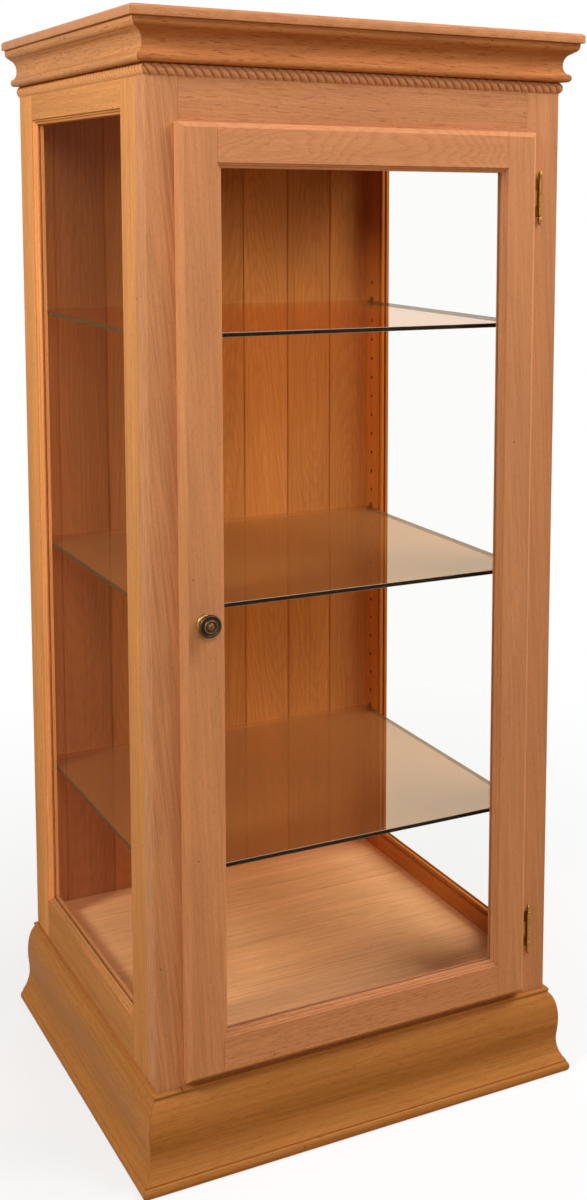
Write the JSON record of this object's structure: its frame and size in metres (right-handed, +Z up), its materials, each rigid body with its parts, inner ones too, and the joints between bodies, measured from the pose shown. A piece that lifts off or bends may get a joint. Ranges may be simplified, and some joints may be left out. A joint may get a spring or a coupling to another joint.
{
  "type": "glazed display cabinet",
  "caption": "Free-standing oak display cabinet on a moulded plinth, with a glazed hinged door, glazed sides, glass shelves, a crown and a twisted rope moulding.",
  "frame": {"origin": "middle of the footprint, at floor level, in the row's bounding box", "axes": "+Z up, the door and the knob face -Y, +X is the hinge side"},
  "size_m": [0.6528, 0.605, 1.5],
  "materials": {
    "oak_front": "satin lacquered oak, pinkish tan",
    "oak_side": "satin lacquered oak, golden",
    "oak_inner": "satin lacquered oak, darker inside",
    "clear_glass": "clear float glass with a faint green edge",
    "hinge_brass": "antique brass",
    "pin_brass": "dull brass",
    "knob_bronze": "dark bronzed brass"
  },
  "bodies": {
    "case": {"crown_front": "oak_front", "rope_front": "oak_front", "plinth_front": "oak_front", "crown_left": "oak_front", "rope_left": "oak_front", "plinth_left": "oak_front", "crown_right": "oak_front", "rope_right": "oak_front", "plinth_right": "oak_front", "plinth_back": "oak_inner", "top_slab": "oak_front", "front_left_post": "oak_front", "front_right_post": "oak_front", "front_top_rail": "oak_front", "front_bottom_rail": "oak_front", "left_side_front_stile": "oak_side", "left_side_rear_stile": "oak_side", "left_side_top_rail": "oak_side", "left_side_bottom_rail": "oak_side", "left_side_glass": "clear_glass", "right_side_front_stile": "oak_side", "right_side_rear_stile": "oak_side", "right_side_top_rail": "oak_side", "right_side_bottom_rail": "oak_side", "right_side_glass": "clear_glass", "floor_panel": "oak_inner", "back_board_1": "oak_inner", "back_board_2": "oak_inner", "back_board_3": "oak_inner", "back_board_4": "oak_inner", "back_board_5": "oak_inner", "back_board_6": "oak_inner", "back_board_7": "oak_inner", "upper_shelf_pin_front_left": "pin_brass", "upper_shelf_pin_rear_left": "pin_brass", "upper_shelf_pin_front_right": "pin_brass", "upper_shelf_pin_rear_right": "pin_brass", "middle_shelf_pin_front_left": "pin_brass", "middle_shelf_pin_rear_left": "pin_brass", "middle_shelf_pin_front_right": "pin_brass", "middle_shelf_pin_rear_right": "pin_brass", "lower_shelf_pin_front_left": "pin_brass", "lower_shelf_pin_rear_left": "pin_brass", "lower_shelf_pin_front_right": "pin_brass", "lower_shelf_pin_rear_right": "pin_brass", "upper_hinge_frame_leaf": "hinge_brass", "upper_hinge_pin": "hinge_brass", "lower_hinge_frame_leaf": "hinge_brass", "lower_hinge_pin": "hinge_brass"},
    "door": {"door_knob_stile": "oak_front", "door_hinge_stile": "oak_front", "door_top_rail": "oak_front", "door_bottom_rail": "oak_front", "door_glass": "clear_glass", "door_knob": "knob_bronze", "upper_hinge_door_leaf": "hinge_brass", "lower_hinge_door_leaf": "hinge_brass"},
    "upper_shelf": {"upper_shelf": "clear_glass"},
    "middle_shelf": {"middle_shelf": "clear_glass"},
    "lower_shelf": {"lower_shelf": "clear_glass"}
  },
  "joints": [
    {"name": "door_hinge", "type": "hinge", "parent": "case", "child": "door", "pos_m": [0.2665, -0.2643, 0.75], "axis": [0, 0, 1], "range_deg": [0, 145]},
    {"name": "upper_shelf_lift", "type": "slide", "parent": "case", "child": "upper_shelf", "axis": [0, 0, 1], "range_m": [0, 0.02]},
    {"name": "middle_shelf_lift", "type": "slide", "parent": "case", "child": "middle_shelf", "axis": [0, 0, 1], "range_m": [0, 0.02]},
    {"name": "lower_shelf_lift", "type": "slide", "parent": "case", "child": "lower_shelf", "axis": [0, 0, 1], "range_m": [0, 0.02]}
  ]
}
